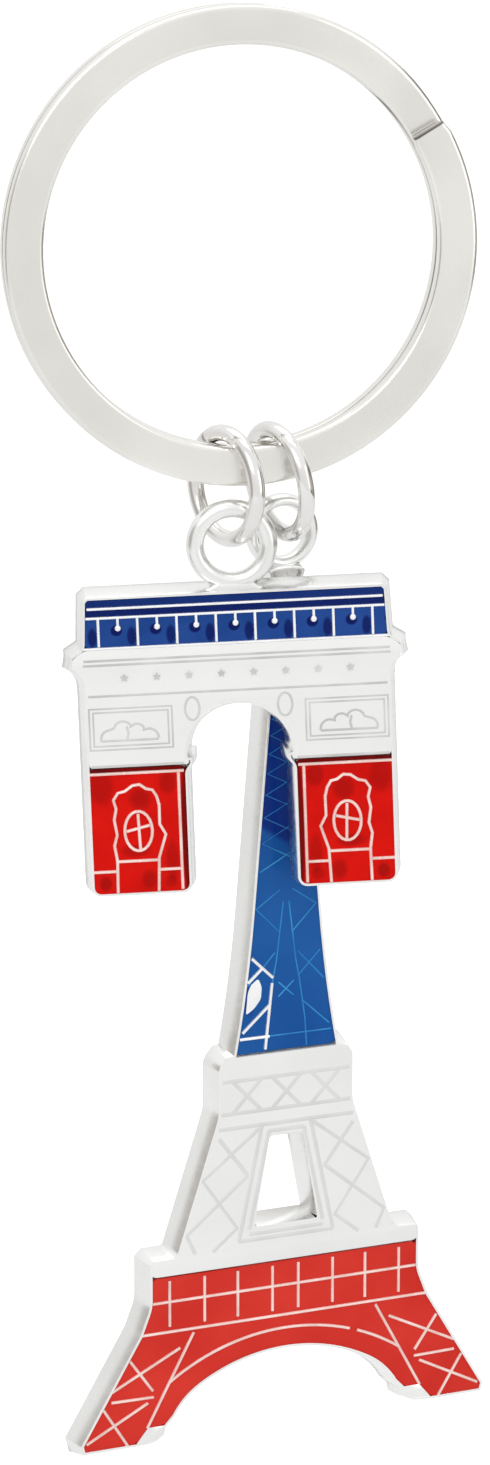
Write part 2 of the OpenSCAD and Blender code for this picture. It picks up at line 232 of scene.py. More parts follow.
def makeShadePool():
    # a soft-edged oval of painted shade, partly also where the enamel lies deeper: 1 at its middle, 0
    # outside
    group = bpy.data.node_groups.new("shadePool", "ShaderNodeTree")
    for name in ("U", "V", "Middle U", "Middle V", "Half U", "Half V", "Edge"):
        group.interface.new_socket(name=name, in_out="INPUT", socket_type="NodeSocketFloat")
    group.interface.new_socket(name="Mask", in_out="OUTPUT", socket_type="NodeSocketFloat")
    nodes, links = group.nodes, group.links
    inside = nodes.new("NodeGroupInput")
    outside = nodes.new("NodeGroupOutput")

    def sum2(kind, first, second):
        node = nodes.new("ShaderNodeMath")
        node.operation = kind
        links.new(first, node.inputs[0])
        links.new(second, node.inputs[1])
        return node.outputs[0]

    squares = []
    for axis in ("U", "V"):
        away = sum2("SUBTRACT", inside.outputs[axis], inside.outputs["Middle " + axis])
        share = sum2("DIVIDE", away, inside.outputs["Half " + axis])
        squares.append(sum2("MULTIPLY", share, share))
    reach = sum2("ADD", *squares)
    fade = nodes.new("ShaderNodeMapRange")
    fade.interpolation_type = "SMOOTHSTEP"
    fade.inputs["From Min"].default_value = 1.0
    fade.inputs["To Min"].default_value = 0.0
    fade.inputs["To Max"].default_value = 1.0
    links.new(reach, fade.inputs["Value"])
    links.new(inside.outputs["Edge"], fade.inputs["From Max"])
    links.new(fade.outputs["Result"], outside.inputs["Mask"])
    return group


mottle = makeMottle()
shadePool = makeShadePool()


def shadeMask(nodes, links, look):
    # all the painted shade patches of one enamel, partly also its deeper places, in the plan's own mm:
    # mirrored, repeated or as they are
    plan = nodes.new("ShaderNodeUVMap")
    plan.uv_map = "plan"
    split = nodes.new("ShaderNodeSeparateXYZ")
    links.new(plan.outputs["UV"], split.inputs["Vector"])
    across = nodes.new("ShaderNodeMath")
    links.new(split.outputs["X"], across.inputs[0])
    across.operation = look["fold"]
    across.inputs[1].default_value = look.get("period", 0.0) / 2
    across.inputs[2].default_value = -look.get("period", 0.0) / 2
    total = None
    for u, v, halfU, halfV, edge, amount in look["shadePools"]:
        spot = nodes.new("ShaderNodeGroup")
        spot.node_tree = shadePool
        for name, value in zip(("Middle U", "Middle V", "Half U", "Half V", "Edge"),
                               (u, v, halfU, halfV, edge)):
            spot.inputs[name].default_value = value
        links.new(across.outputs[0], spot.inputs["U"])
        links.new(split.outputs["Y"], spot.inputs["V"])
        add = nodes.new("ShaderNodeMath")
        add.operation = "MULTIPLY_ADD"
        add.use_clamp = True
        links.new(spot.outputs["Mask"], add.inputs[0])
        add.inputs[1].default_value = amount
        if total is not None:
            links.new(total, add.inputs[2])
        else:
            add.inputs[2].default_value = 0
        total = add.outputs[0]
    return total


# painted shade for the split ring: how wide the darkened seam line and split gap are, and their shade
# colour
seamShadeLook = {
    "line": (0.06 * mm, 0.2 * mm, 0.85), "gap": (0.008, 0.014, 0.95),
    "front": (-0.9 * mm, -0.2 * mm), "tone": (0.10, 0.08, 0.07),
}


def seamShade(nodes, links, colour, look):
    # painted shade: dark along the seam between the two turns of the wire, and dark in the gap where the
    # front turn ends
    coords = nodes.new("ShaderNodeTexCoord")
    split = nodes.new("ShaderNodeSeparateXYZ")
    links.new(coords.outputs["Object"], split.inputs["Vector"])

    def fade(value, near, far, amount=1.0):
        node = nodes.new("ShaderNodeMapRange")
        for name, number in (("From Min", near), ("From Max", far), ("To Min", amount), ("To Max", 0.0)):
            node.inputs[name].default_value = number
        links.new(value, node.inputs["Value"])
        return node.outputs["Result"]

    def calc(kind, first, second=None):
        node = nodes.new("ShaderNodeMath")
        node.operation = kind
        for socket, value in zip(node.inputs, (first, second)):
            if isinstance(value, float):
                socket.default_value = value
            elif value is not None:
                links.new(value, socket)
        return node.outputs[0]

    facing = nodes.new("ShaderNodeSeparateXYZ")
    links.new(coords.outputs["Normal"], facing.inputs["Vector"])
    sideways = fade(calc("ABSOLUTE", facing.outputs["Y"]), 0.6, 0.9)
    between = calc("MULTIPLY", sideways, fade(calc("ABSOLUTE", split.outputs["Y"]), *seamShadeLook["line"]))
    angle = calc("ARCTAN2", split.outputs["Z"], split.outputs["X"])
    away = calc("ABSOLUTE", calc("SUBTRACT", angle, math.radians(look["seam"])))
    gap = calc("MULTIPLY", fade(away, *seamShadeLook["gap"]), fade(split.outputs["Y"], *seamShadeLook["front"]))
    paintedShade = nodes.new("ShaderNodeMix")
    paintedShade.data_type = "RGBA"
    paintedShade.inputs["B"].default_value = (*seamShadeLook["tone"], 1)
    links.new(calc("MAXIMUM", between, gap), paintedShade.inputs["Factor"])
    links.new(colour, paintedShade.inputs["A"])
    return paintedShade.outputs["Result"]


def finish(name, look):
    mat = bpy.data.materials.new(name)
    mat.use_nodes = True
    nodes, links = mat.node_tree.nodes, mat.node_tree.links
    shader = nodes["Principled BSDF"]
    shader.inputs["Metallic"].default_value = look.get("metallic", 0.0)
    shader.inputs["Specular IOR Level"].default_value = look.get("shine", 0.5)
    uneven = nodes.new("ShaderNodeGroup")
    uneven.node_tree = mottle
    uneven.inputs["Cloud Scale"].default_value = look.get("cloud", 250.0)
    uneven.inputs["Grain Scale"].default_value = look.get("grain", 2500.0)
    tint = nodes.new("ShaderNodeMix")
    tint.data_type = "RGBA"
    tint.inputs["A"].default_value = (*look["dark"], 1)
    tint.inputs["B"].default_value = (*look["light"], 1)
    spread = nodes.new("ShaderNodeMapRange")
    spread.inputs["From Min"].default_value = 0.3
    spread.inputs["From Max"].default_value = 0.7
    links.new(uneven.outputs["Cloud"], spread.inputs["Value"])
    links.new(spread.outputs["Result"], tint.inputs["Factor"])
    colour = tint.outputs["Result"]
    # painted shade: inside the pools the enamel colour is pulled towards its deep colour, which is the
    # shade colour
    if "shadePools" in look:
        sink = nodes.new("ShaderNodeMix")
        sink.data_type = "RGBA"
        sink.inputs["B"].default_value = (*look["deep"], 1)
        links.new(shadeMask(nodes, links, look), sink.inputs["Factor"])
        links.new(colour, sink.inputs["A"])
        colour = sink.outputs["Result"]
    # painted shade on the split ring, in its seam and at its split
    if "seam" in look:
        colour = seamShade(nodes, links, colour, look)
    if "cornerShade" in look:
        # painted shade: darker in the corners and hollows of the castings, found by pointiness
        shape = nodes.new("ShaderNodeNewGeometry")
        cornerShadeMask = nodes.new("ShaderNodeMapRange")
        cornerShadeMask.inputs["From Min"].default_value = 0.42
        cornerShadeMask.inputs["From Max"].default_value = 0.5
        cornerShadeMask.inputs["To Min"].default_value = 1.0
        cornerShadeMask.inputs["To Max"].default_value = 0.0
        links.new(shape.outputs["Pointiness"], cornerShadeMask.inputs["Value"])
        paintedShade = nodes.new("ShaderNodeMix")
        paintedShade.data_type = "RGBA"
        paintedShade.inputs["B"].default_value = (*look["cornerShade"], 1)
        links.new(cornerShadeMask.outputs["Result"], paintedShade.inputs["Factor"])
        links.new(colour, paintedShade.inputs["A"])
        colour = paintedShade.outputs["Result"]
    links.new(colour, shader.inputs["Base Color"])
    gloss = nodes.new("ShaderNodeMapRange")
    gloss.inputs["From Min"].default_value = 0.3
    gloss.inputs["From Max"].default_value = 0.7
    gloss.inputs["To Min"].default_value = look["rough"][0]
    gloss.inputs["To Max"].default_value = look["rough"][1]
    links.new(uneven.outputs["Grain"], gloss.inputs["Value"])
    links.new(gloss.outputs["Result"], shader.inputs["Roughness"])
    wave = nodes.new("ShaderNodeBump")
    wave.inputs["Strength"].default_value = look.get("wave", 0.1)
    wave.inputs["Distance"].default_value = 0.05 * mm
    links.new(uneven.outputs["Cloud"], wave.inputs["Height"])
    fine = nodes.new("ShaderNodeBump")
    fine.inputs["Strength"].default_value = look.get("fine", 0.05)
    fine.inputs["Distance"].default_value = 0.01 * mm
    links.new(uneven.outputs["Grain"], fine.inputs["Height"])
    links.new(wave.outputs["Normal"], fine.inputs["Normal"])
    links.new(fine.outputs["Normal"], shader.inputs["Normal"])
    return mat


looks = {
    "ringNickel": {"dark": (0.78, 0.765, 0.725), "light": (0.87, 0.86, 0.825), "metallic": 1.0,
                   "seam": 31.2,
                   "rough": (0.16, 0.26), "cloud": 120.0, "grain": 3500.0, "wave": 0.12, "fine": 0.1},
    "jumpNickel": {"dark": (0.74, 0.73, 0.71), "light": (0.86, 0.85, 0.84), "metallic": 1.0,
                   "rough": (0.08, 0.16), "cloud": 300.0, "grain": 4000.0, "wave": 0.15, "fine": 0.08},
    "castNickel": {"dark": (0.82, 0.82, 0.81), "light": (0.90, 0.90, 0.89), "metallic": 1.0,
                   # colour of the painted shade in the corners and hollows
                   "cornerShade": (0.45, 0.43, 0.40),
                   "rough": (0.18, 0.28), "cloud": 180.0, "grain": 2600.0, "wave": 0.12, "fine": 0.1},
    "lineNickel": {"dark": (0.86, 0.87, 0.88), "light": (0.95, 0.95, 0.95), "metallic": 0.8,
                   "rough": (0.2, 0.34), "cloud": 460.0, "grain": 2600.0, "wave": 0.2, "fine": 0.2},
    "whiteEnamel": {"dark": (0.75, 0.755, 0.745), "light": (0.80, 0.805, 0.795), "shine": 0.15,
                    "rough": (0.25, 0.4), "cloud": 120.0, "grain": 1800.0, "wave": 0.05, "fine": 0.04},
    "towerWhite": {"dark": (0.74, 0.745, 0.735), "light": (0.78, 0.785, 0.775), "shine": 0.15,
                   "rough": (0.25, 0.4), "cloud": 120.0, "grain": 1800.0, "wave": 0.05, "fine": 0.04},
    "greyLine": {"dark": (0.48, 0.48, 0.47), "light": (0.62, 0.62, 0.61), "shine": 0.2,
                 "rough": (0.3, 0.45), "cloud": 500.0, "grain": 2500.0, "wave": 0.2, "fine": 0.1},
    "softLine": {"dark": (0.62, 0.625, 0.615), "light": (0.69, 0.695, 0.685), "shine": 0.15,
                 "rough": (0.3, 0.45), "cloud": 400.0, "grain": 2500.0, "wave": 0.1, "fine": 0.05},
    # its pools are painted shade, darker along the top band and along the passage side, with smaller
    # patches of uneven enamel
    "archRed": {"dark": (0.54, 0.004, 0.002), "light": (0.66, 0.006, 0.003), "deep": (0.10, 0.001, 0.001),
                "fold": "ABSOLUTE",
                "shadePools": [(6.6, 8.35, 9.0, 0.38, 0.5, 0.9), (3.55, 4.0, 0.42, 6.0, 0.4, 0.85),
                          (4.7, 7.3, 0.7, 0.9, 0.2, 0.35), (8.9, 7.1, 0.9, 1.4, 0.2, 0.3),
                          (6.5, 6.3, 0.9, 0.9, 0.1, 0.4), (4.6, 2.2, 0.5, 1.6, 0.2, 0.3),
                          (6.9, 2.9, 1.2, 0.5, 0.2, 0.35), (6.1, 1.0, 0.6, 0.8, 0.2, 0.35),
                          (8.9, 0.8, 0.5, 0.6, 0.2, 0.45), (4.7, 0.8, 0.5, 0.5, 0.2, 0.3)],
                "shine": 0.05, "rough": (0.06, 0.12), "cloud": 350.0, "grain": 2200.0, "wave": 0.3,
                "fine": 0.03},
    "towerRed": {"dark": (0.56, 0.022, 0.014), "light": (0.64, 0.034, 0.022), "shine": 0.12,
                 "rough": (0.16, 0.24), "cloud": 220.0, "grain": 2000.0, "wave": 0.15, "fine": 0.05},
    # its pools are painted shade: dark bands near the top, a dark crescent beside each bead and a dark
    # patch low in each cell, partly also deeper enamel
    "archBlue": {"dark": (0.010, 0.048, 0.22), "light": (0.018, 0.066, 0.28), "deep": (0.002, 0.006, 0.09),
                 "fold": "WRAP", "period": 2.48,
                 "shadePools": [(0.0, 19.0, 4.0, 0.42, 0.5, 0.6), (0.0, 18.45, 4.0, 0.28, 0.5, 0.85),
                           (-0.1, 17.3, 0.42, 0.40, 0.5, 0.95), (0.85, 16.9, 0.35, 0.75, 0.3, 0.85)],
                 "shine": 0.06, "rough": (0.06, 0.12), "cloud": 420.0, "grain": 2200.0, "wave": 0.3,
                 "fine": 0.03},
    # its first, largest pool is a painted shadow of the arch across the upper spire, and the two small ones
    # darken narrow spots lower down
    "towerBlue": {"dark": (0.006, 0.072, 0.29), "light": (0.012, 0.098, 0.34), "deep": (0.002, 0.014, 0.17),
                  "fold": "ADD",
                  "shadePools": [(10.1, 56.9, 20.0, 20.0, 0.95, 0.85), (0.9, 42.0, 0.3, 2.0, 0.3, 0.4),
                            (-2.6, 29.5, 0.5, 1.2, 0.3, 0.5)],
                  "shine": 0.1, "rough": (0.08, 0.16), "cloud": 160.0, "grain": 2000.0, "wave": 0.3,
                  "fine": 0.03},
    "cyanLine": {"dark": (0.010, 0.15, 0.44), "light": (0.03, 0.27, 0.58), "shine": 0.2,
                 "rough": (0.12, 0.22), "cloud": 500.0, "grain": 2500.0, "wave": 0.2, "fine": 0.05},
    "pinkLine": {"dark": (0.76, 0.52, 0.47), "light": (0.90, 0.72, 0.68), "metallic": 0.2, "shine": 0.3,
                 "rough": (0.2, 0.3), "cloud": 600.0, "grain": 3000.0, "wave": 0.2, "fine": 0.1},
}
finishes = {name: finish(name, look) for name, look in looks.items()}
print("finishes ready")


# where the two castings hang: loop centres in mm, turn about the vertical and tilt in the plane

castings = {"thick": 1.9, "draft": 0.38, "cell": 0.5, "sink": 0.10, "rim": 0.17}
archHang = {"loop": (-0.758, -1.048, -18.690), "yaw": -7.8, "tilt": 2.1, "loopV": 22.3}
towerHang = {"loop": (2.996, 1.567, -18.435), "yaw": 11.9, "tilt": 0.0, "loopV": 60.25}


def keepPlan(obj):
    # the piece's own flat drawing, in mm, kept as a UV map for patterns that follow it
    plan = obj.data.uv_layers.new(name="plan")
    for loop in obj.data.loops:
        co = obj.data.vertices[loop.vertex_index].co
        plan.data[loop.index].uv = (co.x, co.y)


def hang(obj, how):
    keepPlan(obj)
    x, y, z = how["loop"]
    place = (Matrix.Translation(Vector((x, y, z)) * mm)
             @ Matrix.Rotation(math.radians(how["yaw"]), 4, "Z")
             @ Matrix.Rotation(math.radians(-how["tilt"]), 4, "Y")
             @ Matrix.Rotation(math.radians(90), 4, "X")
             @ Matrix.Scale(mm, 4)
             @ Matrix.Translation((0, -how["loopV"], -castings["thick"] / 2)))
    pick(obj)
    obj.matrix_world = place
    bpy.ops.object.transform_apply(location=True, rotation=True, scale=True)
    return obj


def castPlate(name, outlines, edge):
    # sides slope out towards the back, and the front is sunk inside a rim
    t, draft = castings["thick"], castings["draft"]

    def isFront(face):
        return face.center.z > t - 0.001

    body = flatShape(name, outlines, bevel=draft)
    selectVerts(body, lambda co: co.z < -0.001)
    bpy.ops.transform.resize(value=(1, 1, 0), center_override=(0, 0, 0))
    bpy.ops.mesh.select_all(action="SELECT")
    bpy.ops.transform.resize(value=(1, 1, t / draft), center_override=(0, 0, 0))
    bpy.ops.object.mode_set(mode="OBJECT")
    selectFaces(body, isFront)
    bpy.ops.mesh.dissolve_limited(angle_limit=math.radians(0.5))
    bpy.ops.object.mode_set(mode="OBJECT")
    selectFaces(body, isFront)
    bpy.ops.mesh.inset(thickness=castings["rim"], depth=0)
    bpy.ops.mesh.inset(thickness=0.03, depth=-castings["cell"])
    bpy.ops.object.mode_set(mode="OBJECT")
    bevelled(body, edge, 2, 30)
    return body


def castLoop(name, look):
    clearSelection()
    bpy.ops.mesh.primitive_torus_add(
        major_segments=72, minor_segments=24,
        major_radius=(look["outside"] + look["inside"]) / 4,
        minor_radius=(look["outside"] - look["inside"]) / 4,
        location=(0, look["v"], castings["thick"] / 2))
    loop = bpy.context.active_object
    loop.name = name
    loop.scale.z = look["deep"] / ((look["outside"] - look["inside"]) / 2)
    bpy.ops.object.transform_apply(location=True, rotation=True, scale=True)
    return loop


# arch

archLook = {
    "half": 9.8, "high": 19.5, "passage": 3.4, "spring": 8.85, "ledge": 0.35,
    "cornice": 15.45, "corniceOut": 0.75, "frieze": 13.2, "attic": 16.2, "redTop": 8.4,
    "edge": 0.07, "corner": 0.3, "lineR": 0.10, "greyR": 0.10,
}
archLoop = {"outside": 5.8, "inside": 3.5, "deep": 1.35, "v": 22.3}


def archOutline(a):
    h, p = a["half"], a["passage"]
    return closedOutline(
        arc(0, a["spring"], p, 90, 12, 12)
        + [(p, a["spring"]), (p - a["ledge"], a["spring"]), (p - a["ledge"], 8.4), (p, 8.0)]
        + arc(p + 0.6, 0.6, 0.6, 180, 270, 5)
        + arc(h - 0.6, 0.6, 0.6, 270, 360, 5)
        + [(h - 0.02, a["frieze"])]
        + arc(h + 1.6, a["frieze"] + 0.3, 1.6, 170, 118, 5)
        + [(h + a["corniceOut"], a["cornice"]), (h + a["corniceOut"], a["cornice"] + 0.25)]
        + [(h - 0.05, a["attic"]), (h - 0.2, a["high"] - 0.25), (h - 0.45, a["high"])]
        + [(0, a["high"])])


def archFields(a):
    rim = castings["rim"] - 0.05
    h, p, side = a["half"], a["passage"] + rim, a["half"] - rim - 0.05
    blue = [(-side + 0.05, a["attic"] + 0.06), (side - 0.05, a["attic"] + 0.06),
            (side - 0.16, a["high"] - rim), (-side + 0.16, a["high"] - rim)]
    white = closedOutline(
        arc(0, a["spring"], p, 90, 8, 12)
        + [(p - 0.3, a["redTop"] + 0.05), (side, a["redTop"] + 0.05), (side, a["frieze"])]
        + arc(h + 1.45, a["frieze"] + 0.3, 1.6, 170, 118, 5)
        + [(h + a["corniceOut"] - rim, a["cornice"] + 0.1), (side, a["attic"] - 0.1),
           (0, a["attic"] - 0.1)])
    red = (arc(p + 0.5, 0.5 + rim, 0.5, 180, 270, 5) + arc(side - 0.5, 0.5 + rim, 0.5, 270, 360, 5)
           + [(side, a["redTop"] - 0.05), (p, a["redTop"] - 0.05)])
    return blue, white, red


def archLines(a):
    blueLines = [[(-9.35, 18.75), (9.35, 18.75)], [(-9.45, 18.15), (9.45, 18.15)]]
    blueLines += [[(i * 2.48, 18.15), (i * 2.48, 16.3)]
                  for i in (-3.5, -2.5, -1.5, -0.5, 0.5, 1.5, 2.5, 3.5)]
    blueLines += [[(i * 2.48, 18.15), (i * 2.48, 17.6)] for i in range(-3, 4)]
    blueLines += [[(-9.7, 16.18), (9.7, 16.18)]]
    redSide = [
        [(3.65, 8.03), (9.65, 8.03)], [(4.0, 7.95), (4.0, 0.25)],
        [(8.15, 0.2), (8.1, 2.3), (8.25, 3.3), (8.05, 4.0), (8.2, 5.0), (8.05, 5.7), (8.2, 6.3),
         (7.9, 6.75), (7.45, 6.85), (6.95, 7.2), (6.5, 7.25), (6.1, 6.95), (5.7, 6.86), (5.45, 6.45),
         (5.3, 5.85), (5.32, 4.6),
         (4.95, 3.9), (5.43, 2.4), (5.53, 0.2)],
        oval(6.68, 4.2, 0.88, 1.3, 22), [(6.68, 5.35), (6.6, 3.0)], [(5.95, 4.55), (7.45, 4.2)],
        [(8.05, 2.24), (5.45, 2.24)], [(9.65, 1.6), (8.2, 1.6)], [(5.4, 1.6), (4.05, 1.6)],
    ]
    grey = [[(-9.7, 15.42), (9.7, 15.42)], [(-9.5, 13.12), (9.5, 13.12)], [(-9.75, 15.12), (9.75, 15.12)],
            [(-9.5, 8.55), (-3.6, 8.55)], [(3.6, 8.55), (9.5, 8.55)]]
    panel = [(4.25, 12.3), (9.5, 12.3), (9.5, 9.62), (4.25, 9.62), (4.25, 12.3)]
    inner = [(4.5, 12.05), (9.25, 12.05), (9.25, 9.87), (4.5, 9.87), (4.5, 12.05)]
    hills = (arc(5.75, 10.3, 0.6, 185, 55, 8) + arc(6.5, 10.75, 0.5, 150, 30, 6)
             + arc(7.4, 10.85, 0.6, 150, 15, 6)
             + arc(8.25, 10.35, 0.55, 80, -15, 6))
    relief = [hills, [(5.15, 10.2), (8.8, 10.2)], [(7.15, 10.2), (7.05, 10.65), (7.15, 11.1)]]
    grey += bothSides([panel, inner, oval(2.95, 12.05, 0.46, 0.75, 16)] + relief)
    return blueLines, bothSides(redSide), grey


def buildArch():
    a = archLook
    t, sink, cell = castings["thick"], castings["sink"], castings["cell"]
    plate = castPlate("archPlate", [softened(archOutline(a), a["corner"])], a["edge"])
    seat = [(-2.1, a["high"] - 0.1), (2.1, a["high"] - 0.1), (1.3, a["high"] + 0.45),
            (-1.3, a["high"] + 0.45)]
    boss = bevelled(flatShape("archBoss", [seat], 1.5, w=t / 2), 0.25, 4, 20)
    body = joined("archCasting", [plate, boss, castLoop("archEye", archLoop)])
    blue, white, red = [softened(field, a["corner"]) for field in archFields(a)]
    low, high = t - cell - 0.02, t - sink
    mid, deep = (low + high) / 2, high - low
    pieces = {"archCasting": (body, "castNickel", "charm_nickel")}
    pieces["archBlueEnamel"] = (flatShape("archBlueEnamel", [blue], deep, w=mid), "archBlue", "blue_enamel")
    whiteSheet = bevelled(flatShape("archWhiteEnamel", [white], deep + 0.09, w=mid + 0.045), 0.06, 2, 40)
    pieces["archWhiteEnamel"] = (whiteSheet, "whiteEnamel", "white_enamel")
    reds = [flatShape("archRedEnamel", [red], deep, w=mid),
            flatShape("archRedLeft", [mirrored(red)], deep, w=mid)]
    pieces["archRedEnamel"] = (joined("archRedEnamel", reds), "archRed", "red_enamel")
    blueLines, redLines, grey = archLines(a)
    r = a["lineR"]
    pieces["archBlueLines"] = (wireShape("archBlueLines", blueLines, r, t - r), "lineNickel",
                               "charm_nickel")
    pieces["archRedLines"] = (wireShape("archRedLines", redLines, r, t - r), "pinkLine", "charm_nickel")
    pieces["archWhiteLines"] = (wireShape("archWhiteLines", grey, a["greyR"], t - 0.03, 0.4), "greyLine",
                                "white_enamel")
    beads = []
    for i in range(-3, 4):
        clearSelection()
        bpy.ops.mesh.primitive_uv_sphere_add(segments=20, ring_count=12, radius=0.21,
                                             location=(i * 2.48, 17.45, t - 0.1))
        bead = bpy.context.active_object
        bead.scale.z = 0.7
        bpy.ops.object.transform_apply(location=True, rotation=True, scale=True)
        beads.append(bead)
    pieces["archPendants"] = (joined("archPendants", beads), "lineNickel", "charm_nickel")
    studs = []
    for i in (-3.5, -2.5, -1.5, -0.5, 0.5, 1.5, 2.5, 3.5):
        star = [(i * 2.05 + rr * math.sin(math.radians(k * 36)),
                 14.25 + rr * math.cos(math.radians(k * 36)))
                for k, rr in enumerate([0.26, 0.11] * 5)]
        studs.append(flatShape("archStar", [star], 0.12, w=t))
    pieces["archStars"] = (joined("archStars", studs), "greyLine", "white_enamel")
    for name, (obj, look, slot) in pieces.items():
        hang(obj, archHang)
        smoothed(obj)
        obj.data.materials.clear()
        obj.data.materials.append(finishes[look])
        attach(obj, "arch_charm")
    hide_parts("arch_casting")
    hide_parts("arch_blue_enamel")
    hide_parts("arch_white_enamel")
    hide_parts("arch_red_enamel")
    print("arch built")


# tower

towerLook = {
    "foot": 14.6, "high": 55.5, "gapHalf": 8.62, "gap": 5.3, "stub": 1.05, "crownR": 12.0, "haunchR": 5.5,
    "redFoot": 7.64, "redSide": 9.5, "deck": 11.45, "deckTop": 12.65, "deckHalf": 9.68, "legHalf": 7.83,
    "upper": 22.0, "upperTop": 25.9, "upperHalf": 4.78, "spire": 25.97, "spireHalf": 3.72, "spireTop": 0.88,
    "flareHigh": 9.43, "flareOut": 0.49,
    "cabin": 54.0, "neck": 0.85, "edge": 0.07, "corner": 0.5, "lineR": 0.10, "greyR": 0.17,
}
towerLoop = {"outside": 4.9, "inside": 3.2, "deep": 1.35, "v": 60.25}


def gapHalf(b):
    r, s = b["crownR"], b["haunchR"]
    end = (r * math.sin(math.radians(30)), b["gap"] - r * (1 - math.cos(math.radians(30))))
    centre = (end[0] - s * math.sin(math.radians(30)), end[1] - s * math.cos(math.radians(30)))
    return (arc(0, b["gap"] - r, r, 90, 60, 20) + arc(*centre, s, 60, 30, 14)[1:]
            + [(b["gapHalf"], b["stub"])])


def spireHalf(b, v):
    # a straight taper that flares out towards its base
    taper = (b["cabin"] - v) / (b["cabin"] - b["spire"])
    flare = max(0.0, 1 - (v - b["spire"]) / b["flareHigh"])
    straight = (b["spireHalf"] - b["flareOut"] - b["spireTop"]) * taper
    return b["spireTop"] + straight + b["flareOut"] * flare ** 2


def spireSide(b, inset=0.0, steps=18, top=None):
    top = top or b["cabin"]
    levels = [b["spire"] + (top - b["spire"]) * i / steps for i in range(steps + 1)]
    return [(spireHalf(b, v) - inset, v) for v in levels]


def towerOutline(b):
    h = b["high"]
    return closedOutline(
        gapHalf(b)
        + [(b["gapHalf"] + 0.1, 0.55), (b["gapHalf"] + 0.75, 0.08), (b["gapHalf"] + 2.1, 0)]
        + [(b["foot"] - 0.15, 0), (b["foot"], 0.6)]
        + [(10.4, b["redFoot"]), (b["deckHalf"], b["redSide"]), (b["deckHalf"], b["deckTop"] - 0.25)]
        + [(b["deckHalf"] - 0.25, b["deckTop"]), (b["legHalf"], b["deckTop"])]
        + [(b["upperHalf"], b["upper"]), (b["upperHalf"], b["upperTop"] - 0.6),
           (b["upperHalf"] - 0.5, b["upperTop"])]
        + spireSide(b)
        + [(1.25, b["cabin"]), (1.25, b["cabin"] + 0.9), (b["neck"], h), (b["neck"], h + 1.4)]
        + [(b["neck"] + 0.5, h + 2.5), (0, h + 2.6)])


def towerWindow(grow):
    return [(-2.3 - grow, 14.05 - grow), (2.3 + grow, 14.05 - grow), (1.19 + grow, 20.2 + grow),
            (-1.19 - grow, 20.2 + grow)]


def towerFields(b):
    rim = castings["rim"] - 0.05
    blue = closedOutline([(0, b["spire"] + 0.05)] + spireSide(b, rim, 16, b["cabin"] - 0.8)
                         + [(0, b["cabin"] - 0.8)])
    white = closedOutline([
        (0, b["deck"] + 0.08), (b["deckHalf"] - 0.12, b["deck"] + 0.08),
        (b["deckHalf"] - 0.04, b["deckTop"] - 0.3),
        (b["deckHalf"] - 0.3, b["deckTop"] - 0.04), (b["legHalf"] - 0.06, b["deckTop"]),
        (b["upperHalf"] - 0.06, b["upper"]), (b["upperHalf"] - 0.05, b["upperTop"] - 0.62),
        (b["upperHalf"] - 0.53, b["upperTop"] - 0.06), (0, b["upperTop"] - 0.06)])
    red = closedOutline(
        [(u, v + rim) for u, v in gapHalf(b)[:-1]]
        + [(b["gapHalf"] + 0.1, b["stub"] + rim), (b["gapHalf"] + 1.2, b["stub"] + rim),
           (b["gapHalf"] + 2.1, rim)]
        + [(b["foot"] - 0.3, rim), (b["foot"] - 0.2, 0.6), (10.4 - rim - 0.04, b["redFoot"])]
        + [(b["deckHalf"] - rim, b["redSide"]), (b["deckHalf"] - rim, b["deck"] - 0.06),
           (0, b["deck"] - 0.06)])
    return blue, white, red


def towerLines(b):
    red = [[(-9.5, 9.7), (9.5, 9.7)], [(-10.3, 7.62), (10.3, 7.62)]]
    thin = arc(0, -7.9, 14.6, 55, 125, 30)
    red += [[p for p in thin if p[0] < 4.7], [p for p in thin if p[0] > 5.1]]
    red += bothSides([[(x, 11.15), (x, 8.0)] for x in (0.93, 3.42, 5.79, 8.27)])
    red += bothSides([
        [(6.57, 7.35), (8.4, 3.95), (9.9, 1.15)], [(7.55, 6.4), (12.4, 4.0)], [(11.1, 6.0), (9.5, 3.7)],
        [(9.45, 3.25), (12.43, 3.3)], [(9.85, 2.9), (14.2, 0.65)], [(13.0, 2.9), (11.3, 0.15)]])
    grey = [[(-4.5, 24.25), (4.5, 24.25)], [(-4.6, 22.05), (4.6, 22.05)], [(-4.8, 21.05), (4.8, 21.05)]]
    for x in (-2.8, 0, 2.8):
        grey += [[(x - 1.0, 24.2), (x + 1.0, 22.1)], [(x - 1.0, 22.1), (x + 1.0, 24.2)]]
    grey += bothSides([
        [(1.75, 20.95), (3.38, 13.2)], [(1.25, 20.55), (2.63, 13.95)],
        [(4.8, 20.45), (2.75, 17.7)], [(1.95, 20.8), (5.95, 17.7), (3.52, 14.15), (5.25, 12.75)],
        [(2.75, 17.7), (7.1, 14.1), (6.5, 12.8)]])
    grey += [[(-1.25, 20.55), (1.25, 20.55)], [(-2.63, 13.6), (2.63, 13.6)], [(-3.4, 13.2), (3.4, 13.2)]]
    blue = bothSides([
        [(0.2, 36.0), (0.68, 32.1), (0.95, 30.7), (1.35, 28.0), (1.48, 26.1)],
        [(0.45, 36.8), (2.3, 35.65), (0.5, 34.0)], [(2.5, 32.5), (0.85, 30.9)], [(0.8, 32.6), (2.9, 30.55)],
        [(1.1, 29.25), (3.1, 27.4)]])
    blue += [[(-0.55, 30.6), (0.55, 29.6)], [(-0.55, 29.6), (0.55, 30.6)], [(-3.3, 27.0), (3.3, 27.0)]]
    blue = [[(max(-spireHalf(b, v) + 0.3, min(spireHalf(b, v) - 0.3, u)), v) for u, v in path]
            for path in blue]
    turns = [38.1, 40.0, 41.7, 43.2, 44.6, 45.9, 47.1, 48.2, 49.2, 50.1, 50.9, 51.6]
    zigzag = [((1 if i % 2 else -1) * (spireHalf(b, v) - 0.35), v) for i, v in enumerate(turns)]
    blue += [zigzag, mirrored(zigzag)]
    return blue, red, grey


